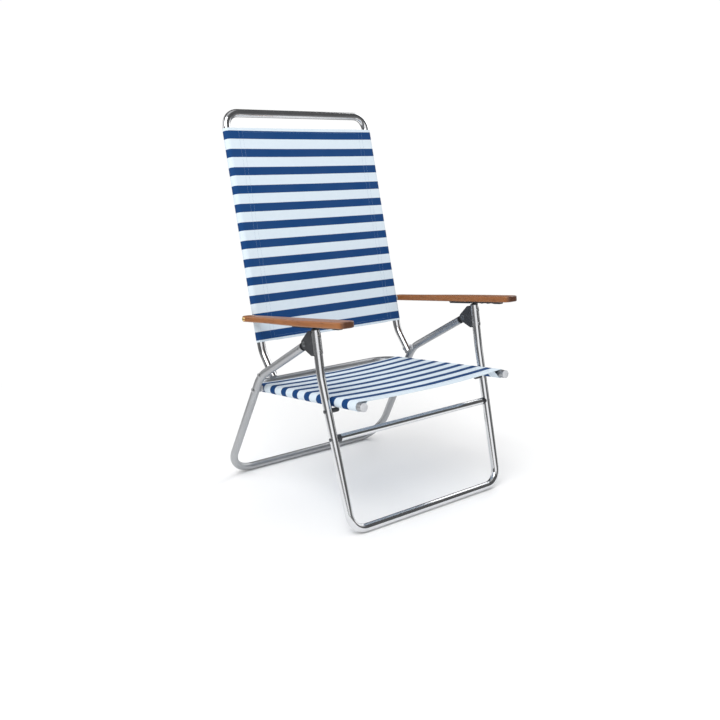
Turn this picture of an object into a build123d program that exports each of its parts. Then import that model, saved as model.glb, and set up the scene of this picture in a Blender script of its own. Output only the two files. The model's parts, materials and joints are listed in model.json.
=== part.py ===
from build123d import *
import math
import os

# Folding beach chair: bent aluminium tube frames, striped slings, hardwood arms.
# Millimetres. +Z is up, the sitter faces -Y, and +X is the sitter's left.
# The origin is on the floor under the middle of the chair's bounding box.

# ---- driving dimensions ----
TUBE_R = 11.1            # 7/8 in frame tube
WALL = 1.5
BORE_R = TUBE_R - WALL
BRACE_R = 9.5
REAR_BEND_R = 80.0       # floor corners of the rear legs
FRONT_BEND_R = 45.0      # floor corners of the front legs
ELBOW_R = 100.0          # rear legs' knee
FRONT_SET_R = 180.0      # slight set in the front legs
SEAT_CORNER_R = 58.0
BACK_CORNER_R = 40.0
BACK_ELBOW_R = 80.0

# side view points (Y, Z) of the tube centre lines
REAR_FOOT, REAR_KNEE, REAR_TOP = (275.4, TUBE_R), (101.0, 339.4), (-103.8, 458.7)
FRONT_FOOT, FRONT_SET, FRONT_TOP = (-284.1, TUBE_R), (-178.6, 394.9), (-157.0, 510.0)
SEAT_FRONT, SEAT_REAR = (-310.7, 340.9), (203.0, 287.8)
BACK_ELBOW, BACK_TOP = (137.9, 398.5), (304.3, 1042.1)

# half widths of the frames at those points
REAR_HALF = (293.9, 282.0, 282.0)      # foot, knee, top
FRONT_HALF = (266.4, 282.0, 282.0)     # foot, set, top
SEAT_HALF = 252.5
BACK_HALF = (250.3, 247.4)             # elbow, top

# pivots (Y, Z), all with axes along X
LEG_PIVOT = (-124.5, 470.8)
SEAT_PIVOT = (124.1, 295.95)
BACK_PIVOT = (93.0, 344.3)
ARM_PIVOT = (161.5, 491.0)
PIVOT_X = 282.0                        # middle of the leg brackets

CLOTH = 1.4
CLOTH_GAP = 0.3
SEAT_CLOTH = (16.2, 456.1)             # front and rear edge along the seat tube
BACK_CLOTH = (25.5, 621.1)             # lower and upper edge above the back's elbow

ROD_R = 4.0                            # rivets at the frame pivots
BOLT_R = 3.0                           # arm pivot bolts
STUD_R, BUSH_R = 3.0, 6.0              # seat rests on the front legs
SCREW_R = 2.25                         # bracket screws
BRACE_SCREW_R = 2.5
PLUG_RIVET_R = 2.0
FIT = 0.02                             # radial gap of a fixed pin in its hole
RUN = 0.05                             # radial running clearance
GAP = 0.3                              # between faces of different bodies
RIVET_HEAD, RIVET_TAIL = (7.0, 2.2), (6.5, 2.0)     # radius and height
SMALL_HEAD = (5.0, 2.0)
PLUG_HEAD, PLUG_TAIL = (4.0, 1.4), (3.5, 1.4)
SPACER_R = 8.0
BOLT_HEAD = (6.5, 3.6)
NUT_R, NUT_T = 5.8, 5.5
ARM_BUSH_R = 5.0
RIDGE_R, RIDGE_HALF = 3.0, 8.0         # ridge on a leg top cap
DRILL = 20.0                           # half length of a cutter through a tube
PLUG_FLANGE, PLUG_INSERT = 2.0, 18.0
CAP_RISE, CAP_DOME_R = 3.0, 22.0       # dome on a seat end cap
TAB_T, TAB_HALF = 6.0, 10.0            # rear leg plug's tab
RACK_BEHIND, RACK_AHEAD = 95.0, 108.0  # rack's ends from the leg top

BRACKET_HALF = 13.0                    # half the leg bracket's width
EAR_R = 12.5                           # bracket round the leg pivot
STRAP_T = 1.2
SCREW_HEIGHTS = (-15.0, -53.0)         # bracket screws above the front legs' tops
BRACE_SHARE = 0.6                      # brace's place from the foot to the front legs' set
BRACE_INSERT, BRACE_SCREW_IN = 18.0, 12.0
BRACE_COLLAR = 9.0                     # plug that shows between the brace and the leg

ARM_LENGTH = 478.0
ARM_THICK = 16.0
ARM_RISE = math.radians(6.79)
ARM_INNER_X = 264.5
ARM_REAR_W, ARM_FRONT_W = 29.0, 46.0
ARM_TAIL = 14.5                        # arm behind its pivot
RACK_W, RACK_T = 12.0, 6.0
NOTCHES, NOTCH_PITCH, NOTCH_DEPTH = 4, 23.6, 1.6


# ---- helpers ----
def unit(a, b):
    """Unit vector in the side view from point a to point b."""
    length = math.dist(a, b)
    return ((b[0] - a[0]) / length, (b[1] - a[1]) / length)


def along(a, d, s):
    return (a[0] + d[0] * s, a[1] + d[1] * s)


def at(x, p):
    return (x, p[0], p[1])


def blend(a, b, t):
    return a + (b - a) * t


def rod(p, q, r):
    """Solid cylinder from point p to point q."""
    axis = Vector(*q) - Vector(*p)
    plane = Plane(origin=p, z_dir=axis)
    return extrude(plane * Circle(r), axis.length)


def pin(x0, x1, p, r):
    return rod(at(x0, p), at(x1, p), r)


def ring(x0, x1, p, r_out, r_in):
    return pin(x0, x1, p, r_out) - pin(x0, x1, p, r_in)


def mirrored(shape):
    return mirror(shape, about=Plane.YZ)


def pair(shape):
    return [shape, mirrored(shape)]


def bent_rod(points, radii, r):
    path = FilletPolyline(*points, radius=radii)
    return sweep(Plane(origin=path @ 0, z_dir=path % 0) * Circle(r), path=path)


def bent_tube(points, radii, r=TUBE_R, wall=WALL):
    return bent_rod(points, radii, r) - bent_rod(points, radii, r - wall)


def u_points(*half):
    """Points of a U frame, given its +X half from the free end to the middle."""
    right = [at(-x, p) for x, p in half]
    left = [at(x, p) for x, p in reversed(half)]
    return right + left


def slab(plane, sketch, thickness):
    """Extrude a sketch drawn on the plane along the plane's normal."""
    return extrude(plane * sketch, thickness, dir=plane.z_dir)


def head(x, p, size, out):
    """Round head seated at x and standing out by its height; out is 1 or -1."""
    r, height = size
    ball_r = (r * r + height * height) / (2 * height)
    rim = math.asin(r / ball_r)
    middle = (height - ball_r + ball_r * math.cos(rim / 2), ball_r * math.sin(rim / 2))
    outline = [Line((0, 0), (height, 0)), ThreePointArc((height, 0), middle, (0, r)), Line((0, r), (0, 0))]
    dome = revolve(make_face(Curve() + outline), Axis.X)
    return Pos(*at(x, p)) * (dome if out > 0 else mirrored(dome))


def drill(shape, x, p, r):
    """Cut a hole along X through both side tubes of a frame, x from the middle."""
    for side in (1, -1):
        shape -= pin(side * (x - DRILL), side * (x + DRILL), p, r)
    return shape


def half_at(p, a, b, halves):
    """Half width of a frame at point p on its straight run from a to b."""
    return blend(*halves, math.dist(a, p) / math.dist(a, b))


def crossing(a, d, b, e):
    """Where the line from a along d meets the line from b along e."""
    reach = ((b[0] - a[0]) * e[1] - (b[1] - a[1]) * e[0]) / (d[0] * e[1] - d[1] * e[0])
    return along(a, d, reach)


def save(name, *shapes):
    solids = [s for shape in shapes for s in shape.solids()]
    export_step(solids[0] if len(solids) == 1 else Compound(children=solids), f"parts/{name}.step")


def end_plug(tip, inward, flange, insert=PLUG_INSERT):
    """Plug in a tube end: tip is the tube's end point, inward points into the tube."""
    body = rod(tip, Vector(*tip) + inward * insert, BORE_R - RUN)
    return body + rod(tip, Vector(*tip) - inward * flange, TUBE_R)


# ---- derived directions ----
BACK_DIR = unit(BACK_ELBOW, BACK_TOP)
BACK_LOW_DIR = unit(BACK_ELBOW, BACK_PIVOT)
SEAT_DIR = unit(SEAT_FRONT, SEAT_REAR)
REAR_DIAG = unit(REAR_KNEE, REAR_TOP)
FRONT_UP = unit(FRONT_SET, FRONT_TOP)
FRONT_LOW = unit(FRONT_FOOT, FRONT_SET)
FRONT_BACKWARD = (FRONT_UP[1], -FRONT_UP[0])
ARM_DIR = (-math.cos(ARM_RISE), math.sin(ARM_RISE))
ARM_UP = (math.sin(ARM_RISE), math.cos(ARM_RISE))

BACK_END = along(BACK_PIVOT, BACK_LOW_DIR, 12.5)
BRACE = along(FRONT_FOOT, FRONT_LOW, BRACE_SHARE * math.dist(FRONT_FOOT, FRONT_SET))
BRACE_HALF = half_at(BRACE, FRONT_FOOT, FRONT_SET, FRONT_HALF[:2])

# half widths where the pivots cross the frames
REAR_HALF_BACK = REAR_HALF[1]
REAR_HALF_SEAT = half_at(SEAT_PIVOT, REAR_KNEE, REAR_FOOT, (REAR_HALF[1], REAR_HALF[0]))
BACK_HALF_ARM = half_at(ARM_PIVOT, BACK_ELBOW, BACK_TOP, BACK_HALF)

# studs on the front legs that carry the seat: under the seat tube, on the leg's centre line
SEAT_DROP = TUBE_R + CLOTH_GAP + CLOTH + GAP + BUSH_R
SEAT_BELOW = along(SEAT_FRONT, (SEAT_DIR[1], -SEAT_DIR[0]), SEAT_DROP)
SEAT_REST = crossing(FRONT_FOOT, FRONT_LOW, SEAT_BELOW, SEAT_DIR)
REST_HALF = half_at(SEAT_REST, FRONT_FOOT, FRONT_SET, FRONT_HALF[:2])


# ---- rear leg frame ----
def rear_legs():
    frame = bent_tube(
        u_points((REAR_HALF[2], REAR_TOP), (REAR_HALF[1], REAR_KNEE), (REAR_HALF[0], REAR_FOOT)),
        [ELBOW_R, REAR_BEND_R, REAR_BEND_R, ELBOW_R])
    frame = drill(frame, REAR_HALF_BACK, BACK_PIVOT, ROD_R + RUN)
    frame = drill(frame, REAR_HALF_SEAT, SEAT_PIVOT, ROD_R + RUN)
    rivet_at = along(REAR_TOP, REAR_DIAG, -14)
    save("rear_leg_frame", drill(frame, PIVOT_X, rivet_at, PLUG_RIVET_R + RUN))

    inward = Vector(0, -REAR_DIAG[0], -REAR_DIAG[1])
    plug = end_plug(at(PIVOT_X, REAR_TOP), inward, PLUG_FLANGE, 24.0)
    tab_plane = Plane(origin=at(PIVOT_X - TAB_T / 2, REAR_TOP), x_dir=(0, *REAR_DIAG), z_dir=(1, 0, 0))
    reach = math.dist(REAR_TOP, LEG_PIVOT)
    tab = Pos(reach / 2, 0) * Rectangle(reach, 2 * TAB_HALF) + Pos(reach, 0) * Circle(TAB_HALF)
    plug += slab(tab_plane, tab, TAB_T)
    plug -= pin(PIVOT_X - DRILL, PIVOT_X + DRILL, LEG_PIVOT, ROD_R + RUN)
    plug -= pin(PIVOT_X - DRILL, PIVOT_X + DRILL, rivet_at, PLUG_RIVET_R + RUN)
    save("rear_leg_plugs", *pair(plug))

    rivet = pin(PIVOT_X - TUBE_R, PIVOT_X + TUBE_R, rivet_at, PLUG_RIVET_R)
    rivet += head(PIVOT_X + TUBE_R, rivet_at, PLUG_HEAD, 1)
    rivet += head(PIVOT_X - TUBE_R, rivet_at, PLUG_TAIL, -1)
    save("rear_plug_rivets", *pair(rivet))


# ---- front leg frame ----
def front_legs():
    frame = bent_tube(
        u_points((FRONT_HALF[2], FRONT_TOP), (FRONT_HALF[1], FRONT_SET), (FRONT_HALF[0], FRONT_FOOT)),
        [FRONT_SET_R, FRONT_BEND_R, FRONT_BEND_R, FRONT_SET_R])
    frame = drill(frame, REST_HALF, SEAT_REST, STUD_R + FIT)
    frame = drill(frame, BRACE_HALF, BRACE, BRACE_SCREW_R + FIT)
    for side in (1, -1):
        for a in SCREW_HEIGHTS:
            ends = [at(side * PIVOT_X, bracket_point(n, a)) for n in (-DRILL, DRILL)]
            frame -= rod(*ends, SCREW_R)
    save("front_leg_frame", frame)

    face = BRACE_HALF - TUBE_R
    end = face - BRACE_COLLAR
    save("front_brace", ring(-end, end, BRACE, BRACE_R, BRACE_R - WALL))
    leg = rod(at(FRONT_HALF[0], FRONT_FOOT), at(FRONT_HALF[1], FRONT_SET), TUBE_R + FIT)
    plug = pin(end - BRACE_INSERT, end, BRACE, BRACE_R - WALL - RUN)
    plug += pin(end, BRACE_HALF, BRACE, BRACE_R)
    plug -= leg
    plug -= pin(end - BRACE_SCREW_IN, BRACE_HALF, BRACE, BRACE_SCREW_R)
    save("brace_plugs", *pair(plug))
    outside = BRACE_HALF + TUBE_R + GAP
    screw = pin(end - BRACE_SCREW_IN, outside, BRACE, BRACE_SCREW_R)
    save("brace_screws", *pair(screw + head(outside, BRACE, SMALL_HEAD, 1)))

    outside = REST_HALF + TUBE_R + GAP
    tip = SEAT_HALF - 6
    stud = pin(tip, outside, SEAT_REST, STUD_R) + head(outside, SEAT_REST, SMALL_HEAD, 1)
    stud += pin(tip, tip + 2, SEAT_REST, BUSH_R - 1)
    save("seat_rest_studs", *pair(stud))
    bush = ring(tip + 2.2, REST_HALF - TUBE_R - 2 * GAP, SEAT_REST, BUSH_R, STUD_R + RUN)
    save("seat_rest_bushes", *pair(bush))


# ---- leg brackets at the top of the front legs ----
def bracket_point(n, a):
    """Side view point n behind the leg's centre line and a above its top end."""
    return along(along(FRONT_TOP, FRONT_UP, a), FRONT_BACKWARD, n)


def leg_brackets():
    plane = Plane(origin=at(PIVOT_X - BRACKET_HALF, FRONT_TOP), x_dir=(0, *FRONT_BACKWARD), z_dir=(1, 0, 0))
    dy, dz = LEG_PIVOT[0] - FRONT_TOP[0], LEG_PIVOT[1] - FRONT_TOP[1]
    pn = dy * FRONT_BACKWARD[0] + dz * FRONT_BACKWARD[1]
    pa = dy * FRONT_UP[0] + dz * FRONT_UP[1]
    outline = Polygon((4, -63), (13, -63), (pn + 8, pa - 10), (pn + 9, pa + 9), (17, -1), (4, -1), align=None)
    outline += Pos(pn, pa) * Circle(EAR_R)
    body = slab(plane, outline, 2 * BRACKET_HALF)
    body = fillet(body.edges().filter_by(lambda e: abs(e.center().X - PIVOT_X) > BRACKET_HALF - 0.1), 1.2)
    leg_axis = (at(PIVOT_X, bracket_point(0, -80)), at(PIVOT_X, bracket_point(0, 20)))
    body -= rod(*leg_axis, TUBE_R + 0.03)
    slot = Pos((pn + 28) / 2 + 20, -50) * Rectangle(pn - 28 + 40, 120)
    slot_t = TAB_T + 1.0
    body -= slab(plane.offset(BRACKET_HALF - slot_t / 2), slot, slot_t)
    body -= pin(PIVOT_X - 20, PIVOT_X + 20, LEG_PIVOT, ROD_R + FIT)
    for a in SCREW_HEIGHTS:
        body -= rod(at(PIVOT_X, bracket_point(0, a)), at(PIVOT_X, bracket_point(20, a)), SCREW_R)
    save("leg_bracket_left", body)
    save("leg_bracket_right", mirrored(body))

    strap_r = TUBE_R + 0.05
    strap = rod(at(PIVOT_X, bracket_point(0, -60)), at(PIVOT_X, bracket_point(0, -6)), strap_r + STRAP_T)
    strap -= rod(*leg_axis, strap_r)
    behind = Plane(origin=at(PIVOT_X - 30, FRONT_TOP), x_dir=(0, *FRONT_BACKWARD), z_dir=(1, 0, 0))
    strap -= slab(behind, Pos(28.8, -30) * Rectangle(50, 120), 60)
    for a in SCREW_HEIGHTS:
        strap -= rod(at(PIVOT_X, bracket_point(-20, a)), at(PIVOT_X, bracket_point(0, a)), SCREW_R)
    save("leg_strap_left", strap)
    save("leg_strap_right", mirrored(strap))

    screws = []
    for a in SCREW_HEIGHTS:
        face = -(strap_r + STRAP_T)
        screw = rod(at(PIVOT_X, bracket_point(face, a)), at(PIVOT_X, bracket_point(20, a)), SCREW_R)
        screw += rod(at(PIVOT_X, bracket_point(face - 1.8, a)), at(PIVOT_X, bracket_point(face, a)), 4.0)
        socket = Plane(origin=at(PIVOT_X, bracket_point(face - 2, a)), z_dir=(0, *FRONT_BACKWARD))
        screw -= slab(socket, RegularPolygon(1.8, 6), 1.4)
        screws += pair(screw)
    save("bracket_screws", *screws)

    grip = BRACKET_HALF + 0.1
    rivet = pin(PIVOT_X - grip, PIVOT_X + grip, LEG_PIVOT, ROD_R)
    for side in (1, -1):
        rivet += head(PIVOT_X + side * grip, LEG_PIVOT, RIVET_HEAD, side)
    save("leg_pivot_rivets", *pair(rivet))

    up = Vector(0, *FRONT_UP)
    top = Vector(*at(PIVOT_X, FRONT_TOP))
    cap = rod(top - up * 9, top, BORE_R - RUN) + rod(top, top + up * RIDGE_R, TUBE_R)
    ridge = pin(PIVOT_X - RIDGE_HALF, PIVOT_X + RIDGE_HALF, bracket_point(0, RIDGE_R), RIDGE_R)
    save("leg_top_caps", *pair(cap + ridge))


# ---- slings ----
def sling(start, direction, s0, s1, half0, half1, holes):
    """Cloth with a sleeve on each side tube and a sheet on the sitter's side.
    The tube runs from start along direction; s0 and s1 are the cloth's ends on it."""
    normal = (-direction[1], direction[0])
    if normal[1] < 0:
        normal = (-normal[0], -normal[1])
    ends = [(along(start, direction, s), half) for s, half in ((s0, half0), (s1, half1))]
    outer_r = TUBE_R + CLOTH_GAP + CLOTH
    low = along(ends[0][0], normal, TUBE_R + CLOTH_GAP)
    plane = Plane(origin=at(0, low), x_dir=(1, 0, 0), z_dir=(0, *normal))
    length = s1 - s0 if plane.y_dir.Z * direction[1] + plane.y_dir.Y * direction[0] > 0 else s0 - s1
    sheet = Polygon((-half0, 0), (half0, 0), (half1, length), (-half1, length), align=None)
    cloth = slab(plane, sheet, CLOTH)
    past = 30.0
    first, last = along(ends[0][0], direction, -past), along(ends[1][0], direction, past)
    for side in (1, -1):
        cloth += rod(at(side * half0, ends[0][0]), at(side * half1, ends[1][0]), outer_r)
    for side in (1, -1):
        cloth -= rod(at(side * half0, first), at(side * half1, last), outer_r - CLOTH)
    for x0, x1, p, r in holes:
        cloth -= pin(x0, x1, p, r)
        cloth -= pin(-x0, -x1, p, r)
    return max(cloth.solids(), key=lambda s: s.volume)


# ---- seat ----
def seat():
    frame = bent_tube(u_points((SEAT_HALF, SEAT_FRONT), (SEAT_HALF, SEAT_REAR)), [SEAT_CORNER_R] * 2)
    save("seat_frame", drill(frame, SEAT_HALF, SEAT_PIVOT, ROD_R + FIT))
    inward = Vector(0, *SEAT_DIR)
    tip = at(SEAT_HALF, SEAT_FRONT)
    cap = end_plug(tip, inward, PLUG_FLANGE)
    centre = Vector(*tip) - inward * (PLUG_FLANGE + CAP_RISE - CAP_DOME_R)
    dome = Pos(*centre) * Sphere(CAP_DOME_R)
    dome = dome & rod(Vector(*tip) - inward * PLUG_FLANGE, Vector(*tip) - inward * 6.0, TUBE_R)
    save("seat_end_caps", *pair(cap + dome))
    holes = [(SEAT_HALF + 4, SEAT_HALF + DRILL, SEAT_PIVOT, 10.0),
             (SEAT_HALF - DRILL, SEAT_HALF - 4, SEAT_PIVOT, 8.0)]
    save("seat_sling", sling(SEAT_FRONT, SEAT_DIR, *SEAT_CLOTH, SEAT_HALF, SEAT_HALF, holes))

    inside, outside = SEAT_HALF - TUBE_R, REAR_HALF_SEAT + TUBE_R
    rivet = pin(inside, outside + GAP, SEAT_PIVOT, ROD_R)
    rivet += head(outside + GAP, SEAT_PIVOT, RIVET_HEAD, 1)
    rivet += head(inside, SEAT_PIVOT, RIVET_TAIL, -1)
    save("seat_pivot_rivets", *pair(rivet))
    spacer = ring(SEAT_HALF + TUBE_R, REAR_HALF_SEAT - TUBE_R - GAP, SEAT_PIVOT, SPACER_R, ROD_R + FIT)
    save("seat_pivot_spacers", *pair(spacer))


# ---- back ----
def back():
    frame = bent_tube(
        u_points((BACK_HALF[0], BACK_END), (BACK_HALF[0], BACK_ELBOW), (BACK_HALF[1], BACK_TOP)),
        [BACK_ELBOW_R, BACK_CORNER_R, BACK_CORNER_R, BACK_ELBOW_R])
    frame = drill(frame, BACK_HALF[0], BACK_PIVOT, ROD_R + RUN)
    save("back_frame", drill(frame, BACK_HALF_ARM, ARM_PIVOT, BOLT_R + RUN))
    inward = Vector(0, -BACK_LOW_DIR[0], -BACK_LOW_DIR[1])
    plug = end_plug(at(BACK_HALF[0], BACK_END), inward, 1.2, 7.0)
    save("back_end_plugs", *pair(plug))
    span = math.dist(BACK_ELBOW, BACK_TOP)
    halves = [blend(*BACK_HALF, s / span) for s in BACK_CLOTH]
    holes = [(BACK_HALF_ARM + 4, BACK_HALF_ARM + DRILL, ARM_PIVOT, 9.5),
             (BACK_HALF_ARM - DRILL, BACK_HALF_ARM - 4, ARM_PIVOT, 8.0)]
    save("back_sling", sling(BACK_ELBOW, BACK_DIR, *BACK_CLOTH, *halves, holes))

    inside, outside = BACK_HALF[0] - TUBE_R - GAP, REAR_HALF_BACK + TUBE_R + GAP
    rivet = pin(inside, outside, BACK_PIVOT, ROD_R)
    rivet += head(outside, BACK_PIVOT, RIVET_HEAD, 1)
    rivet += head(inside, BACK_PIVOT, RIVET_TAIL, -1)
    save("back_pivot_rivets", *pair(rivet))
    faces = (BACK_HALF[0] + TUBE_R + GAP, REAR_HALF_BACK - TUBE_R - GAP)
    spacer = ring(*faces, BACK_PIVOT, SPACER_R, ROD_R + FIT)
    save("back_pivot_spacers", *pair(spacer))


# ---- arms ----
def arm_point(u, w):
    """Side view point u in front of the arm's pivot and w above its mid plane."""
    return along(along(ARM_PIVOT, ARM_DIR, u), ARM_UP, w)


def arms():
    underside = at(ARM_INNER_X, arm_point(0, -ARM_THICK / 2))
    flat = Plane(origin=underside, x_dir=(0, *ARM_DIR), z_dir=(0, *ARM_UP))
    tail, nose = -ARM_TAIL, ARM_LENGTH - ARM_TAIL
    rear_c, front_c = 12.0, 16.0
    outer = Spline(
        (tail + rear_c, ARM_REAR_W), (110, ARM_REAR_W + 3), (250, ARM_FRONT_W - 1.5),
        (nose - front_c, ARM_FRONT_W), tangents=[(1, 0), (1, 0)])
    edges = [
        Line((tail + rear_c, 0), (nose - front_c, 0)),
        RadiusArc((nose - front_c, 0), (nose, front_c), -front_c),
        Line((nose, front_c), (nose, ARM_FRONT_W - front_c)),
        RadiusArc((nose, ARM_FRONT_W - front_c), (nose - front_c, ARM_FRONT_W), -front_c),
        outer,
        RadiusArc((tail + rear_c, ARM_REAR_W), (tail, ARM_REAR_W - rear_c), -rear_c),
        Line((tail, ARM_REAR_W - rear_c), (tail, rear_c)),
        RadiusArc((tail, rear_c), (tail + rear_c, 0), -rear_c)]
    outline = make_face(Curve() + edges)
    arm = slab(flat, outline, ARM_THICK)
    rim_edges = [e for e in arm.edges() if e.length > 10 and abs(e.tangent_at(0.5).dot(flat.z_dir)) < 0.5]
    arm = fillet(rim_edges, 3.5)
    arm -= pin(ARM_INNER_X - 1, ARM_INNER_X + ARM_REAR_W + 2, ARM_PIVOT, ARM_BUSH_R)

    leg_u = sum(d * (t - p) for d, t, p in zip(ARM_DIR, FRONT_TOP, ARM_PIVOT))
    u0, u1 = leg_u - RACK_BEHIND, leg_u + RACK_AHEAD
    top_w, low_w = -ARM_THICK / 2, -ARM_THICK / 2 - RACK_T
    first = leg_u - NOTCH_PITCH / 2
    side = Plane(origin=at(PIVOT_X + RACK_W / 2, ARM_PIVOT), x_dir=(0, *ARM_DIR), z_dir=(-1, 0, 0))
    wave = []
    for i in range(NOTCHES):
        a = first + i * NOTCH_PITCH
        mid = (a + NOTCH_PITCH / 2, low_w + NOTCH_DEPTH)
        wave.append(ThreePointArc((a, low_w), mid, (a + NOTCH_PITCH, low_w)))
    last = first + NOTCHES * NOTCH_PITCH
    ramp = 4.0
    corners = [(last, low_w), (u1 - ramp, low_w), (u1, top_w),
               (u0, top_w), (u0 + ramp, low_w), (first, low_w)]
    rim = [*wave, *[Line(a, b) for a, b in zip(corners, corners[1:])]]
    rack = slab(side, make_face(Curve() + rim), RACK_W)
    screws = []
    for u in (u0 + 14, leg_u - 40, u1 - 12):
        shank = rod(at(PIVOT_X, arm_point(u, low_w + 1)), at(PIVOT_X, arm_point(u, 3)), 1.75)
        low = at(PIVOT_X, arm_point(u, low_w))
        screws.append(shank + rod(low, at(PIVOT_X, arm_point(u, low_w + 2)), 3.5))
    for screw in screws:
        rack -= screw
        arm -= screw
    for name, flip in (("left", False), ("right", True)):
        save(f"armrest_{name}", mirrored(arm) if flip else arm)
        save(f"arm_rack_{name}", mirrored(rack) if flip else rack)
    save("rack_screws", *[s for screw in screws for s in pair(screw)])

    outer_x = ARM_INNER_X + ARM_REAR_W
    bush = ring(ARM_INNER_X, outer_x, ARM_PIVOT, ARM_BUSH_R - FIT, BOLT_R + RUN)
    save("arm_pivot_bushes", *pair(bush))
    inside = BACK_HALF_ARM - TUBE_R - GAP
    bolt = pin(inside - 5.0, outer_x + GAP, ARM_PIVOT, BOLT_R)
    save("arm_pivot_bolts", *pair(bolt + head(outer_x + GAP, ARM_PIVOT, BOLT_HEAD, 1)))
    hexagon = Rotation(0, 90, 0) * extrude(RegularPolygon(NUT_R, 6), NUT_T)
    nut = Pos(*at(inside - NUT_T, ARM_PIVOT)) * hexagon
    nut -= pin(inside - 5.02, inside + 1, ARM_PIVOT, BOLT_R)
    save("arm_pivot_nuts", *pair(nut))
    washer = ring(BACK_HALF_ARM + TUBE_R + GAP / 2, ARM_INNER_X - GAP / 2, ARM_PIVOT, SPACER_R, BOLT_R + RUN)
    save("arm_pivot_washers", *pair(washer))


os.makedirs("parts", exist_ok=True)
rear_legs()
front_legs()
leg_brackets()
seat()
back()
arms()
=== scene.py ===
import json
import math

import bmesh
import bpy
from bpy.props import FloatProperty, FloatVectorProperty, IntProperty, PointerProperty
from mathutils import Matrix, Vector


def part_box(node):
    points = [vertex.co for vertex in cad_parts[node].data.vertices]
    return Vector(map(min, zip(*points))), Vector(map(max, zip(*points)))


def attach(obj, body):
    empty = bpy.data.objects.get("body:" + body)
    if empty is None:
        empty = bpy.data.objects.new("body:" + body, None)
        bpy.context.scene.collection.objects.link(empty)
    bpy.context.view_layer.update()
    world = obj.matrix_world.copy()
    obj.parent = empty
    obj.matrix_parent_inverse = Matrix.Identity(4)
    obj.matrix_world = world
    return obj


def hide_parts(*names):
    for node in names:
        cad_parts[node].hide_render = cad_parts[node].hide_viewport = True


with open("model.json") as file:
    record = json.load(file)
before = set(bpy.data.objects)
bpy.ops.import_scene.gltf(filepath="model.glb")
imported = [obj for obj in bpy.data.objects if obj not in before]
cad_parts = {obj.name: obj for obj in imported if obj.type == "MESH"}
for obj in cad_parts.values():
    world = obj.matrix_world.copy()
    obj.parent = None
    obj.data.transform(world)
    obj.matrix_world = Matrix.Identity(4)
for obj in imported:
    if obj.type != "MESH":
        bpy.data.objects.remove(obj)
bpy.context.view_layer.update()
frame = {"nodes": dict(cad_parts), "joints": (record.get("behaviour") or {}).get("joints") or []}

bl_info = {
    "name": "Folding Beach Chair",
    "version": (1, 0, 0),
    "blender": (4, 5, 0),
    "location": "3D View > Sidebar > Beach Chair",
    "description": "Striped slings, tube metals, oiled arms and moulded parts for a folding beach chair",
    "category": "Object",
}

# ---- values taken from the frame ----
NODES = frame["nodes"]
JOINT_AT = {joint["name"]: Vector(joint["pos_m"]) for joint in frame["joints"]}
MM = 0.001
INCH = 25.4 * MM

ARM_THICK = 16 * MM

# ---- cloth ----
SLEEVE_OUTER = 12.8 * MM       # the CAD cloth's outer radius round a side tube
CLOTH_THICK = 1.1 * MM
SLEEVE_R = SLEEVE_OUTER - 0.85 * MM     # middle of the cloth round a tube
SEAM_IN = 26 * MM              # from the tube's centre to where the sleeve meets the sheet
SEAM_END = 44 * MM             # from the tube's centre to the sewn edge under the sheet
LAYER_GAP = 1.3 * MM           # between the middles of two sewn layers
HOLE_R = 9.2 * MM              # round each pivot through a sleeve
HOLE_DEPTH = 44 * MM           # past both walls of a sleeve
HEM, SEAT_FRONT_HEM = 14 * MM, 26 * MM
BACK_TAPER = 2.7 * MM          # the back cloth's half width loses this towards its top
BACK_PITCH, BACK_FIRST = 2 * INCH, 19.5 * MM       # one repeat, and the first stripe from the upper edge
SEAT_PITCH, SEAT_FIRST = 53.7 * MM, 20 * MM        # the same, from the rear edge
SHEET_ROWS = 96
STITCH_LONG, STITCH_PITCH, THREAD_R = 2.8 * MM, 3.7 * MM, 0.24 * MM
STITCH_END, STITCH_EDGE, HEM_EDGE = 4 * MM, 3 * MM, 2.5 * MM     # from a row's end, a seam and a hem

# ---- stage, in metres ----
FLOOR_R = 200                  # far enough that its edge isn't seen
PAPER_ENDS, PAPER_FADE = 1.3, 1.0
PLAIN_WHITE = 1.02             # strength that the camera sees as plain white
SENSOR_MM = 36
KEY_AT, KEY_SIZE = (-2.0, -0.9, 2.9), 2.4
FILL_AT, FILL_SIZE, FILL_SHARE = (2.4, 0.6, 2.2), 1.8, 0.35
LIT_POINT = (0, 0, 0.4)        # where both soft boxes aim


# ---------------------------------------------------------------- shader helpers
class Value:
    """A shader socket; arithmetic on it adds Math nodes."""

    def __init__(self, shader, socket):
        self.shader, self.socket = shader, socket

    def __add__(self, other):
        return self.shader.math("ADD", self, other)

    def __sub__(self, other):
        return self.shader.math("SUBTRACT", self, other)

    def __mul__(self, other):
        return self.shader.math("MULTIPLY", self, other)

    def __truediv__(self, other):
        return self.shader.math("DIVIDE", self, other)

    def __radd__(self, other):
        return self.shader.math("ADD", other, self)

    def __rsub__(self, other):
        return self.shader.math("SUBTRACT", other, self)

    def __rmul__(self, other):
        return self.shader.math("MULTIPLY", other, self)

    def __abs__(self):
        return self.shader.math("ABSOLUTE", self)

    def clamp(self):
        return self.shader.math("ADD", self, 0.0, clamp=True)

    def above(self, edge, soft):
        """0 below the edge and 1 above it, turning over a width of soft."""
        return ((self - edge) / soft + 0.5).clamp()


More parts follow.
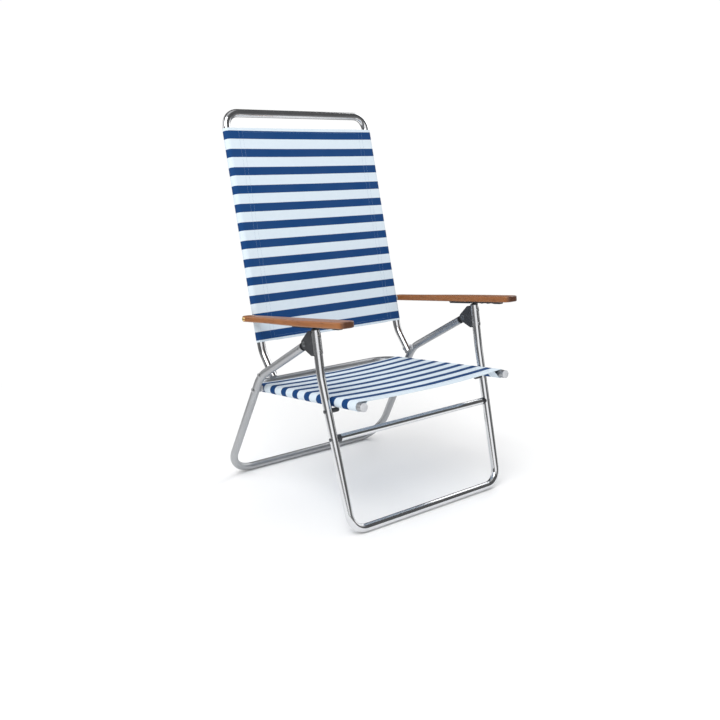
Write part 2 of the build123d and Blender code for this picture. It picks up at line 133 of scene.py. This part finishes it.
class Shader:
    """Builds one node tree: a material's, or the world's."""

    def __init__(self, tree):
        self.tree = tree
        tree.nodes.clear()

    def node(self, kind, settings=None, sockets=None):
        made = self.tree.nodes.new("ShaderNode" + kind)
        for key, value in (settings or {}).items():
            if key == "stops":
                self.set_stops(made.color_ramp, value)
            else:
                setattr(made, key, value)
        for key, value in (sockets or {}).items():
            if isinstance(value, Value):
                self.tree.links.new(value.socket, made.inputs[key])
            else:
                made.inputs[key].default_value = value
        return made

    @staticmethod
    def set_stops(ramp, stops):
        while len(ramp.elements) < len(stops):
            ramp.elements.new(0.5)
        for element, (place, colour) in zip(ramp.elements, stops):
            element.position, element.color = place, (*colour, 1)

    def out(self, node, name=0):
        return Value(self, node.outputs[name])

    def math(self, operation, *values, clamp=False):
        settings = {"operation": operation, "use_clamp": clamp}
        return self.out(self.node("Math", settings, dict(enumerate(values))))

    def noise(self, vector, scale, detail=2.0, roughness=0.5):
        return self.out(self.node("TexNoise", None, {
            "Vector": vector, "Scale": scale, "Detail": detail, "Roughness": roughness}))

    def place(self, scale=(1, 1, 1), rotation=(0, 0, 0)):
        """Object coordinates, turned and stretched."""
        where = self.out(self.node("TexCoord"), "Object")
        sockets = {"Vector": where, "Scale": scale, "Rotation": rotation}
        return self.out(self.node("Mapping", None, sockets))

    def parts(self, vector):
        split = self.node("SeparateXYZ", None, {0: vector})
        return [self.out(split, i) for i in range(3)]

    def mix(self, amount, a, b):
        """Colour a where amount is 0, b where it is 1."""
        return self.out(self.node("Mix", {"data_type": "RGBA"}, {0: amount, 6: colour(a), 7: colour(b)}), 2)

    def bump(self, height, distance, strength=1.0):
        sockets = {"Height": height, "Distance": distance, "Strength": strength}
        return self.out(self.node("Bump", None, sockets))

    def surface(self, **values):
        sockets = {name.replace("_", " "): value for name, value in values.items()}
        shader = self.node("BsdfPrincipled", None, sockets)
        self.node("OutputMaterial", None, {"Surface": self.out(shader)})


def colour(value):
    return value if isinstance(value, Value) else (*value, 1)


def new_material(name):
    material = bpy.data.materials.new(name)
    material.use_nodes = True
    return material, Shader(material.node_tree)


# ---------------------------------------------------------------- materials
def drawn_metal(name, tint, roughness, grain):
    """Drawn metal: soft mottling, fine die lines and small handling marks."""
    material, s = new_material(name)
    where = s.place()
    mottle = s.noise(where, 14.0, 3.0)
    fine = s.noise(s.place(scale=(1, 1, 0.25)), 900.0, 2.0)
    marks = s.noise(where, 160.0, 4.0, 0.7).above(0.68, 0.06)
    dark = tuple(c * 0.86 for c in tint)
    s.surface(
        Base_Color=s.mix((mottle * 1.6 - 0.3).clamp(), dark, tint),
        Metallic=1.0,
        Roughness=(roughness + (mottle - 0.5) * grain + marks * grain).clamp(),
        Normal=s.bump(fine + marks * 0.5, 0.02 * MM, 0.25))
    return material


def moulded(name, tint, roughness, texture=0.05):
    """Moulded plastic with a fine eroded texture and slightly paler rubbed patches."""
    material, s = new_material(name)
    where = s.place()
    rub = s.noise(where, 60.0, 4.0, 0.6)
    skin = s.noise(where, 1400.0, 2.0)
    pale = tuple(min(1.0, c * 1.5 + 0.02) for c in tint)
    s.surface(
        Base_Color=s.mix((rub * 1.4 - 0.45).clamp(), tint, pale),
        Roughness=(roughness + (rub - 0.5) * 0.2).clamp(),
        Normal=s.bump(skin, texture * MM, 0.5))
    return material


def oiled_wood(name, settings, rise):
    """Hardwood with long straight grain and pores; both ends are darker, as end grain and as painted shade
    on the end faces.
    """
    material, s = new_material(name)
    turn = (rise, 0, 0)
    lengthwise = s.place(scale=(1, 0.05, 1), rotation=turn)
    bands = s.noise(lengthwise, 55.0, 3.0, 0.55)
    growth = s.math("SINE", (s.parts(s.place(rotation=turn))[0] * 900.0 + bands * 14.0)) * 0.5 + 0.5
    fibres = s.noise(s.place(scale=(1, 0.02, 1), rotation=turn), 900.0, 2.0)
    pores = s.noise(s.place(scale=(1, 0.06, 1), rotation=turn), 520.0, 1.0).above(0.66, 0.05)
    along = s.parts(s.place(rotation=turn))[1]
    low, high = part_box("armrest_left")
    length = (high.y - low.y - ARM_THICK * math.sin(rise)) / math.cos(rise)
    nose = low.y * math.cos(rise) - (high.z - ARM_THICK * math.cos(rise)) * math.sin(rise)
    # painted shade: the end faces and the wood near them turn almost to the pore colour, standing in for the
    # shade on the arm's ends as well as their darker end grain
    end_grain_and_painted_shade = abs(along - (nose + length / 2)).above(length / 2 - 5 * MM, 8 * MM)
    wood = s.mix((bands * 1.5 - 0.25).clamp(), settings.dark, settings.light)
    wood = s.mix(growth * 0.35, wood, settings.dark)
    wood = s.mix(fibres.above(0.5, 0.5) * 0.3, wood, settings.light)
    wood = s.mix(pores * 0.55, wood, settings.pore)
    wood = s.mix(end_grain_and_painted_shade * 0.9, wood, settings.pore)
    s.surface(
        Base_Color=wood,
        Roughness=(0.36 + bands * 0.16 + pores * 0.2).clamp(),
        Normal=s.bump(fibres * 0.5 + growth * 0.3 - pores, 0.12 * MM, 0.5),
        Coat_Weight=0.35,
        Coat_Roughness=0.3)
    return material


def striped_cloth(name, settings, sling):
    """Woven stripes across the chair; v runs along the cloth from its upper or rear edge."""
    material, s = new_material(name)
    uv = s.out(s.node("UVMap", {"uv_map": "cloth"}))
    u, v, _ = s.parts(uv)
    ragged = s.noise(uv, 420.0, 2.0) * (0.9 * MM) - 0.45 * MM
    turns = (v - sling.first) / sling.pitch + 0.5
    from_centre = abs(s.math("FRACT", turns) - 0.5) * sling.pitch
    band = (settings.band / 2 - (from_centre + ragged)).above(0.0, 0.5 * MM)
    last = sling.first + (sling.stripes - 0.5) * sling.pitch
    band = band * (1 - v.above(last, MM))
    yarn = math.pi / (settings.yarn * MM)
    warp = s.math("SINE", u * yarn)
    weft = s.math("SINE", v * yarn)
    weave = warp * weft * 0.5 + 0.5
    slub = s.noise(uv, 90.0, 3.0, 0.6)
    cloudy = s.noise(uv, 9.0, 2.0)
    # painted shade: where the weave dips, each yarn turns to its darker copy, standing in for the shade in
    # the weave's hollows; the slub noise adds real tone
    blue = s.mix((weave * 0.45 + slub * 0.35).clamp(), settings.blue_painted_shade, settings.blue)
    white = s.mix((weave * 0.5 + slub * 0.4).clamp(), settings.white_painted_shade_and_mottle, settings.white)
    stripes_with_painted_shade = s.mix(band, white, blue)
    s.surface(
        # the pale yarn's darker copy also tints the cloth's large mottling, which is a real tone
        Base_Color=s.mix((cloudy * 0.03).clamp(), stripes_with_painted_shade, settings.white_painted_shade_and_mottle),
        Roughness=(0.78 + (slub - 0.5) * 0.2).clamp(),
        Normal=s.bump(weave + slub * 0.6, 0.18 * MM, 0.45),
        Specular_IOR_Level=0.12,
        Sheen_Weight=0.02,
        Sheen_Roughness=0.45)
    return material


def sewing_thread(name, tint):
    material, s = new_material(name)
    twist = s.noise(s.place(), 2600.0, 2.0)
    shade = tuple(c * 0.8 for c in tint)
    s.surface(
        Base_Color=s.mix(twist, shade, tint),
        Roughness=(0.55 + twist * 0.2).clamp(),
        Normal=s.bump(twist, 0.05 * MM, 0.6))
    return material


def give(material, *names):
    """Put one material on CAD nodes."""
    for name in names:
        NODES[name].data.materials.clear()
        NODES[name].data.materials.append(material)


# ---------------------------------------------------------------- modelling helpers
def deselect():
    bpy.ops.object.select_all(action="DESELECT")


def activate(piece):
    deselect()
    piece.select_set(True)
    bpy.context.view_layer.objects.active = piece


def apply(piece, kind, **settings):
    """Add a modifier and apply it."""
    activate(piece)
    modifier = piece.modifiers.new(kind.title(), kind)
    for key, value in settings.items():
        setattr(modifier, key, value)
    bpy.ops.object.modifier_apply(modifier=modifier.name)


def outward(piece):
    mesh = bmesh.new()
    mesh.from_mesh(piece.data)
    bmesh.ops.recalc_face_normals(mesh, faces=mesh.faces)
    mesh.to_mesh(piece.data)
    mesh.free()


def smooth(piece, degrees=40):
    activate(piece)
    bpy.ops.object.shade_smooth_by_angle(angle=math.radians(degrees))


# ---------------------------------------------------------------- slings
class Sling:
    """Where one sling lies. Its line comes from the box of the CAD cloth.

    s runs along the side tubes from the lower or front edge, x across, and height is
    measured from the tubes' centre line towards the sitter."""

    def __init__(self, node, frame_node, pivot, rising, taper, sag, hems, stripes):
        low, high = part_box(node)
        size = high - low
        c, w = 1.0, 0.0
        for _ in range(30):        # the line's slope and its length settle together
            run = (size.y - 2 * SLEEVE_OUTER * w, size.z - 2 * SLEEVE_OUTER * c)
            self.length = math.hypot(*run)
            c, w = run[0] / self.length, run[1] / self.length
        start_z = low.z + SLEEVE_OUTER * c if rising else high.z - SLEEVE_OUTER * c
        self.start = Vector((0, low.y + SLEEVE_OUTER * w, start_z))
        self.way = Vector((0, c, w if rising else -w))
        self.up = Vector((0, -self.way.z, self.way.y))
        self.half, self.taper, self.sag = high.x - SLEEVE_OUTER, taper, sag
        self.node, self.frame_node, self.pivot, self.hems = node, frame_node, pivot, hems
        self.stripes, self.first, self.pitch = stripes

    def half_at(self, s):
        return self.half - self.taper * s / self.length

    def dip(self, x, s):
        """How far the sheet hangs below its sleeves' tops, with light ripples and puckers."""
        half = self.half_at(s)
        t = min(1.0, abs(x) / half)
        hollow = self.sag * (1 - t * t)
        middle = max(0.0, 1 - t / 0.8)
        ripple = math.sin(s * 31 + 2.1 * x * 10) * math.sin(s * 13 + 1.3) * 0.7 * MM * middle
        from_seam = (half - abs(x) - SEAM_END) / (14 * MM)
        pucker = math.sin(s * 290 + 3 * math.sin(s * 41)) * 0.22 * MM * math.exp(-from_seam * from_seam)
        return hollow + ripple + (pucker if abs(x) < half - SEAM_IN else 0.0)

    def point(self, x, s, height):
        lowered = height - (self.dip(x, s) if abs(x) < self.half_at(s) else 0.0)
        return self.start + self.way * s + self.up * lowered + Vector((x, 0, 0))

    def section(self):
        """One side's section: (share of the half width, x past the tube, height), centre to sewn edge."""
        flat_end = self.half - SEAM_END - 2 * MM
        flat = [flat_end * i / 20 / self.half for i in range(1, 21)]
        points = [(share, 0.0, SLEEVE_R) for share in flat]
        points += [(1, -SEAM_END + (SEAM_END - 2 * MM) * i / 10, SLEEVE_R) for i in range(1, 11)]
        seam = Vector((-SEAM_IN, SLEEVE_R - LAYER_GAP))
        leave = math.atan2(seam.y, seam.x) + math.acos(SLEEVE_R / seam.length) - 2 * math.pi
        turns = 22
        for i in range(turns + 1):
            a = math.pi / 2 + (leave - math.pi / 2) * i / turns
            points.append((1, SLEEVE_R * math.cos(a), SLEEVE_R * math.sin(a)))
        tangent = Vector(points[-1][1:])
        for i in range(1, 6):
            p = tangent.lerp(seam, i / 5)
            points.append((1, p.x, p.y))
        for i in range(1, 5):
            points.append((1, -SEAM_IN - (SEAM_END - SEAM_IN) * i / 4, SLEEVE_R - LAYER_GAP))
        return points

    def rows(self):
        """(s, drop, hem) for each row of the sheet, with a folded hem at both ends."""
        steps = SHEET_ROWS
        hem_low, hem_high = self.hems
        rows = [(hem_low, LAYER_GAP, True), (hem_low / 2, LAYER_GAP, True), (0.5 * MM, LAYER_GAP, True)]
        rows += [(0.0, LAYER_GAP / 2, True)]
        rows += [(0.3 * MM + (self.length - 0.6 * MM) * i / steps, 0.0, False) for i in range(steps + 1)]
        rows += [(self.length, LAYER_GAP / 2, True)]
        rows += [(self.length - d, LAYER_GAP, True) for d in (0.5 * MM, hem_high / 2, hem_high)]
        return rows

    def make_cloth(self):
        side = self.section()
        columns = [(-a, -b, c) for a, b, c in reversed(side)] + [(0, 0, SLEEVE_R)] + side
        rows = self.rows()
        verts, across = [], []
        for s, drop, _ in rows:
            half, u, last = self.half_at(s), 0.0, None
            for share, past, height in columns:
                x = share * half + past
                verts.append(self.point(x, s, height - drop))
                flat = Vector((x, height))
                u += (flat - last).length if last else 0.0
                last = flat
                across.append(u)
        wide = len(columns)
        sheet_columns = [i for i, (share, _, _) in enumerate(columns) if abs(share) < 1]
        first_flat, last_flat = sheet_columns[0], sheet_columns[-1]
        faces = []
        for j in range(len(rows) - 1):
            hem = rows[j][2] or rows[j + 1][2]
            for i in range(wide - 1):
                if hem and not first_flat <= i < last_flat:
                    continue
                a = j * wide + i
                faces.append((a, a + 1, a + wide + 1, a + wide))
        mesh = bpy.data.meshes.new(self.node + "_cloth")
        mesh.from_pydata(verts, [], faces)
        layer = mesh.uv_layers.new(name="cloth")
        for loop in mesh.loops:
            s = rows[loop.vertex_index // wide][0]
            layer.data[loop.index].uv = (across[loop.vertex_index], self.length - s)
        piece = bpy.data.objects.new(self.node + "_cloth", mesh)
        bpy.context.scene.collection.objects.link(piece)
        activate(piece)
        bpy.ops.object.mode_set(mode="EDIT")
        bpy.ops.mesh.select_all(action="SELECT")
        bpy.ops.mesh.delete_loose()
        bpy.ops.object.mode_set(mode="OBJECT")
        apply(piece, "SOLIDIFY", thickness=CLOTH_THICK, offset=0.0, use_even_offset=False)
        outward(piece)
        for side_sign in (1, -1):
            self.cut_hole(piece, side_sign)
        smooth(piece, 50)
        self.width = across[wide - 1]
        return piece

    def cut_hole(self, piece, side_sign):
        """Round hole through a sleeve where a pivot crosses the tube."""
        at = self.pivot + Vector((side_sign * self.half, 0, 0))
        deselect()
        bpy.ops.mesh.primitive_cylinder_add(
            vertices=40, radius=HOLE_R, depth=HOLE_DEPTH, location=at, rotation=(0, math.pi / 2, 0))
        cutter = bpy.context.active_object
        apply(piece, "BOOLEAN", operation="DIFFERENCE", object=cutter, solver="EXACT")
        bpy.data.objects.remove(cutter)

    def stitch_places(self):
        """(x, s, along the tube?, height) of every stitch, above and below the sheet."""
        above = SLEEVE_R + CLOTH_THICK / 2
        below = SLEEVE_R - LAYER_GAP - CLOTH_THICK / 2
        count = int((self.length - 2 * STITCH_END) / STITCH_PITCH)
        for i in range(count):
            s = STITCH_END + STITCH_PITCH * i
            for inset in (SEAM_IN + STITCH_EDGE, SEAM_END - STITCH_EDGE):
                for sign in (1, -1):
                    for height in (above, below):
                        yield sign * (self.half_at(s) - inset), s, True, height
        span = self.half - SEAM_END - STITCH_EDGE
        count = int(2 * span / STITCH_PITCH)
        for s in (self.hems[0] - HEM_EDGE, self.length - self.hems[1] + HEM_EDGE):
            for i in range(count):
                for height in (above, below):
                    yield -span + STITCH_PITCH * i, s, False, height

    def make_stitches(self):
        deselect()
        bpy.ops.mesh.primitive_cylinder_add(vertices=6, radius=THREAD_R, depth=STITCH_LONG)
        one = bpy.context.active_object
        bpy.ops.object.mode_set(mode="EDIT")
        bpy.ops.mesh.select_all(action="SELECT")
        bpy.ops.mesh.bevel(offset=THREAD_R * 0.5, segments=1)
        bpy.ops.object.mode_set(mode="OBJECT")
        joined = bmesh.new()
        for x, s, lengthwise, height in self.stitch_places():
            at = self.point(x, s, height)
            near = self.point(x, s + MM, height) if lengthwise else self.point(x + MM, s, height)
            turn = (near - at).to_track_quat("Z", "Y").to_matrix().to_4x4()
            copy = one.data.copy()
            copy.transform(Matrix.Translation(at) @ turn)
            joined.from_mesh(copy)
            bpy.data.meshes.remove(copy)
        bpy.data.objects.remove(one)
        mesh = bpy.data.meshes.new(self.node + "_stitching")
        joined.to_mesh(mesh)
        joined.free()
        piece = bpy.data.objects.new(self.node + "_stitching", mesh)
        bpy.context.scene.collection.objects.link(piece)
        smooth(piece, 60)
        return piece


# ---------------------------------------------------------------- settings
class ClothSettings(bpy.types.PropertyGroup):
    blue: FloatVectorProperty(
        name="Blue", description="Yarn of the dark stripes", subtype="COLOR", default=(0.0, 0.052, 0.20))
    # painted shade: the darker copy of the blue yarn stands in for the shade in the weave's hollows
    blue_painted_shade: FloatVectorProperty(
        name="Blue shade", description="Dark yarn in the weave's hollows", subtype="COLOR",
        default=(0.0, 0.034, 0.135))
    white: FloatVectorProperty(
        name="White", description="Yarn of the pale stripes", subtype="COLOR", default=(0.70, 0.78, 0.84))
    # painted shade: the darker copy of the white yarn stands in for the shade in the weave's hollows, and it
    # also tints the cloth's mottling
    white_painted_shade_and_mottle: FloatVectorProperty(
        name="White shade", description="Pale yarn in the weave's hollows", subtype="COLOR",
        default=(0.57, 0.66, 0.74))
    thread: FloatVectorProperty(
        name="Thread", description="Sewing thread", subtype="COLOR", default=(0.22, 0.32, 0.48))
    band: FloatProperty(
        name="Stripe width", description="Width of one dark stripe", unit="LENGTH", default=23 * MM)
    yarn: FloatProperty(
        name="Yarn pitch (mm)", description="Distance between neighbouring yarns", default=1.1)
    back_sag: FloatProperty(
        name="Back sag", description="Hollow across the back's cloth", unit="LENGTH", default=3.5 * MM)
    seat_sag: FloatProperty(
        name="Seat sag", description="Hollow across the seat's cloth", unit="LENGTH", default=7 * MM)
    back_stripes: IntProperty(name="Back stripes", description="Dark stripes on the back", default=12)
    seat_stripes: IntProperty(name="Seat stripes", description="Dark stripes on the seat", default=8)


class MetalSettings(bpy.types.PropertyGroup):
    satin: FloatVectorProperty(
        name="Satin tube", description="Rear legs, seat tube and rivets", subtype="COLOR",
        default=(0.48, 0.49, 0.505))
    polished: FloatVectorProperty(
        name="Polished tube", description="Front legs, brace, back and leg straps", subtype="COLOR",
        default=(0.78, 0.79, 0.81))
    zinc: FloatVectorProperty(
        name="Zinc plate", description="Nuts, bracket and rack screws", subtype="COLOR",
        default=(0.62, 0.63, 0.62))
    dark: FloatVectorProperty(
        name="Dark steel", description="Leg pivot rivets, seat studs, brace screws", subtype="COLOR",
        default=(0.20, 0.21, 0.22))
    brass: FloatVectorProperty(
        name="Brass", description="Arm pivot bolts and bushes", subtype="COLOR", default=(0.80, 0.58, 0.26))


class WoodSettings(bpy.types.PropertyGroup):
    light: FloatVectorProperty(
        name="Light wood", description="Early growth", subtype="COLOR", default=(0.38, 0.145, 0.036))
    dark: FloatVectorProperty(
        name="Dark wood", description="Late growth", subtype="COLOR", default=(0.22, 0.066, 0.014))
    # the pore colour also paints shade onto both ends of the arms
    pore: FloatVectorProperty(
        name="Pores", description="Pores and end grain", subtype="COLOR", default=(0.07, 0.022, 0.008))


class PlasticSettings(bpy.types.PropertyGroup):
    charcoal: FloatVectorProperty(
        name="Charcoal", description="Brackets, caps, racks, most plugs, seat bushes", subtype="COLOR",
        default=(0.022, 0.024, 0.028))
    grey: FloatVectorProperty(
        name="Grey", description="Plugs in the back's tube ends", subtype="COLOR",
        default=(0.16, 0.165, 0.17))
    pale: FloatVectorProperty(
        name="Pale grey", description="Seat caps, spacers and washers", subtype="COLOR",
        default=(0.46, 0.47, 0.49))


class StageSettings(bpy.types.PropertyGroup):
    eye: FloatVectorProperty(
        name="Eye", description="Where the camera stands", subtype="TRANSLATION",
        default=(-1.5151, -1.8537, 0.9463))
    heading: FloatProperty(
        name="Heading", description="Turn from +Y towards +X", subtype="ANGLE", default=math.radians(39.03))
    pitch: FloatProperty(
        name="Pitch", description="Look down from the horizon", subtype="ANGLE", default=math.radians(13.74))
    lens: FloatProperty(name="Lens (mm)", description="Focal length on a 36 mm sensor", default=43.23)
    key: FloatProperty(name="Key light (W)", description="Large soft box above the chair", default=66.0)
    sky: FloatProperty(
        name="Room light", description="How strongly the white room lights the chair", default=0.78)
    window: FloatProperty(
        name="Window", description="Direction of the first of three bright windows, from +X",
        subtype="ANGLE", default=math.radians(-119))


# ---------------------------------------------------------------- operators
class CHAIR_OT_slings(bpy.types.Operator):
    """Weave and sew the back's and the seat's striped cloth onto their side tubes"""
    bl_idname = "chair.slings"
    bl_label = "Slings and stitching"

    def execute(self, context):
        settings = context.scene.chair_cloth
        slings = (
            Sling("back_sling", "back_frame", JOINT_AT["arm_recline"], True, BACK_TAPER, settings.back_sag,
                  (HEM, HEM), (settings.back_stripes, BACK_FIRST, BACK_PITCH)),
            Sling("seat_sling", "seat_frame", JOINT_AT["seat_fold"], False, 0.0, settings.seat_sag,
                  (SEAT_FRONT_HEM, HEM), (settings.seat_stripes, SEAT_FIRST, SEAT_PITCH)))
        thread = sewing_thread("polyester_thread", settings.thread)
        for sling in slings:
            cloth = sling.make_cloth()
            cloth.data.materials.append(striped_cloth(sling.node + "_weave", settings, sling))
            stitches = sling.make_stitches()
            stitches.data.materials.append(thread)
            body = sling.node.split("_")[0]
            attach(cloth, body)
            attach(stitches, body)
            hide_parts(sling.node)
            hem = sum(sling.hems)
            flat_area = sling.width * sling.length + hem * 2 * (sling.half - SEAM_END)
        return {"FINISHED"}


class CHAIR_OT_tubes(bpy.types.Operator):
    """Finish the bent tubes: satin on rear legs and seat, polish on front legs, brace and back"""
    bl_idname = "chair.tubes"
    bl_label = "Tube finishes"

    def execute(self, context):
        settings = context.scene.chair_metal
        give(drawn_metal("satin_tube", settings.satin, 0.42, 0.10), "rear_leg_frame", "seat_frame")
        give(drawn_metal("polished_tube", settings.polished, 0.13, 0.06),
             "front_leg_frame", "front_brace", "back_frame")
        return {"FINISHED"}


class CHAIR_OT_hardware(bpy.types.Operator):
    """Finish the rivets, studs, screws, bolts, nuts, bushes and straps"""
    bl_idname = "chair.hardware"
    bl_label = "Hardware finishes"

    def execute(self, context):
        settings = context.scene.chair_metal
        give(drawn_metal("zinc_plate", settings.zinc, 0.34, 0.14),
             "bracket_screws", "rack_screws", "arm_pivot_nuts")
        give(drawn_metal("dark_steel", settings.dark, 0.38, 0.12),
             "brace_screws", "seat_rest_studs", "leg_pivot_rivets")
        give(drawn_metal("soft_rivet", settings.satin, 0.30, 0.10),
             "rear_plug_rivets", "seat_pivot_rivets", "back_pivot_rivets")
        give(drawn_metal("bright_strap", settings.polished, 0.20, 0.08), "leg_strap_left", "leg_strap_right")
        give(drawn_metal("pivot_brass", settings.brass, 0.30, 0.12), "arm_pivot_bushes", "arm_pivot_bolts")
        return {"FINISHED"}


class CHAIR_OT_mouldings(bpy.types.Operator):
    """Finish the moulded brackets, caps, racks, plugs, bushes, spacers and washers"""
    bl_idname = "chair.mouldings"
    bl_label = "Moulded parts"

    def execute(self, context):
        settings = context.scene.chair_plastic
        give(moulded("charcoal_nylon", settings.charcoal, 0.48), "leg_bracket_left", "leg_bracket_right",
             "leg_top_caps", "arm_rack_left", "arm_rack_right", "brace_plugs", "rear_leg_plugs",
             "seat_rest_bushes")
        give(moulded("grey_nylon", settings.grey, 0.5), "back_end_plugs")
        give(moulded("pale_nylon", settings.pale, 0.32, 0.03), "seat_end_caps",
             "seat_pivot_spacers", "back_pivot_spacers", "arm_pivot_washers")
        return {"FINISHED"}


class CHAIR_OT_arms(bpy.types.Operator):
    """Oil the hardwood arms"""
    bl_idname = "chair.arms"
    bl_label = "Wooden arms"

    def execute(self, context):
        low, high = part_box("armrest_left")
        rise = math.atan2(high.z - low.z - ARM_THICK, high.y - low.y)
        give(oiled_wood("oiled_hardwood", context.scene.chair_wood, rise), "armrest_left", "armrest_right")
        return {"FINISHED"}


class CHAIR_OT_stage(bpy.types.Operator):
    """Set the pale floor, the white room, the soft lights and the camera"""
    bl_idname = "chair.stage"
    bl_label = "Stage"

    def execute(self, context):
        settings = context.scene.chair_stage
        scene = context.scene
        scene.view_settings.view_transform = "Standard"
        deselect()
        bpy.ops.mesh.primitive_circle_add(vertices=96, radius=FLOOR_R, fill_type="NGON", location=(0, 0, 0))
        floor = context.active_object
        floor.name = "studio_floor"
        floor.data.materials.append(self.floor_material())
        self.add_world(scene, settings)
        self.add_light("key_box", KEY_AT, KEY_SIZE, settings.key)
        self.add_light("fill_box", FILL_AT, FILL_SIZE, settings.key * FILL_SHARE)
        camera = bpy.data.objects.new("camera", bpy.data.cameras.new("camera"))
        scene.collection.objects.link(camera)
        camera.data.lens = settings.lens
        camera.data.sensor_width = SENSOR_MM
        camera.location = settings.eye
        camera.rotation_euler = (math.pi / 2 - settings.pitch, 0, -settings.heading)
        scene.camera = camera
        return {"FINISHED"}

    @staticmethod
    def floor_material():
        """Pale paper under the chair that runs out into plain white, and into dark for polished metal."""
        material, s = new_material("pale_floor")
        x, y, _ = s.parts(s.place())
        away = s.math("SQRT", x * x + y * y)
        glossy = s.out(s.node("LightPath"), "Is Glossy Ray")
        white = s.out(s.node("Emission", None, {
            "Color": (1, 1, 1, 1), "Strength": PLAIN_WHITE - glossy * 0.85}))
        paper = s.out(s.node("BsdfPrincipled", None, {
            "Base Color": (0.93, 0.93, 0.93, 1), "Roughness": 0.7, "Specular IOR Level": 0.2}))
        blend = s.node("MixShader", None, {0: away.above(PAPER_ENDS, PAPER_FADE), 1: paper, 2: white})
        s.node("OutputMaterial", None, {"Surface": s.out(blend)})
        return material

    @staticmethod
    def add_light(name, at, size, power):
        light = bpy.data.objects.new(name, bpy.data.lights.new(name, "AREA"))
        light.data.shape, light.data.size, light.data.energy = "SQUARE", size, power
        light.location = at
        light.rotation_mode = "QUATERNION"
        light.rotation_quaternion = (Vector(LIT_POINT) - Vector(at)).to_track_quat("-Z", "Y")
        bpy.context.scene.collection.objects.link(light)

    @staticmethod
    def add_world(scene, settings):
        """A white room. Polished metal sees a dark one, with three bright windows and a paler top."""
        world = bpy.data.worlds.new("white_room")
        world.use_nodes = True
        s = Shader(world.node_tree)
        x, y, z = s.parts(s.out(s.node("TexCoord"), "Generated"))
        around = s.math("ARCTAN2", y, x)
        windows = s.math("COSINE", (around - settings.window) * 3.0).above(0.1, 0.9)
        ceiling = z.above(0.5, 0.3)
        dim = 0.1 + windows * (1 - ceiling) * 1.1 + z.above(0.93, 0.1) * 0.5
        path = s.node("LightPath")
        glossy = s.out(path, "Is Glossy Ray")
        seen = s.out(path, "Is Camera Ray")
        level = settings.sky * (1 - glossy) + dim * glossy
        level = level * (1 - seen) + seen * PLAIN_WHITE
        shade = s.out(s.node("Background", None, {"Color": (1, 1, 1, 1), "Strength": level}))
        s.node("OutputWorld", None, {"Surface": shade})
        scene.world = world


class CHAIR_PT_panel(bpy.types.Panel):
    bl_label = "Beach Chair"
    bl_idname = "CHAIR_PT_panel"
    bl_space_type = "VIEW_3D"
    bl_region_type = "UI"
    bl_category = "Beach Chair"

    def draw(self, context):
        for operator in OPERATORS:
            self.layout.operator(operator.bl_idname)
        for name in SETTINGS:
            box = self.layout.box()
            group = getattr(context.scene, name)
            for key in type(group).__annotations__:
                box.prop(group, key)


SETTINGS = {
    "chair_cloth": ClothSettings,
    "chair_metal": MetalSettings,
    "chair_wood": WoodSettings,
    "chair_plastic": PlasticSettings,
    "chair_stage": StageSettings,
}
OPERATORS = (CHAIR_OT_stage, CHAIR_OT_slings, CHAIR_OT_tubes, CHAIR_OT_hardware, CHAIR_OT_mouldings,
             CHAIR_OT_arms)
CLASSES = (*SETTINGS.values(), *OPERATORS, CHAIR_PT_panel)


def register():
    for each in CLASSES:
        bpy.utils.register_class(each)
    for name, group in SETTINGS.items():
        setattr(bpy.types.Scene, name, PointerProperty(type=group))


def unregister():
    for name in SETTINGS:
        delattr(bpy.types.Scene, name)
    for each in reversed(CLASSES):
        bpy.utils.unregister_class(each)


def main():
    register()
    bpy.ops.chair.stage()
    bpy.ops.chair.slings()
    bpy.ops.chair.tubes()
    bpy.ops.chair.hardware()
    bpy.ops.chair.mouldings()
    bpy.ops.chair.arms()


if __name__ == "__main__":
    main()
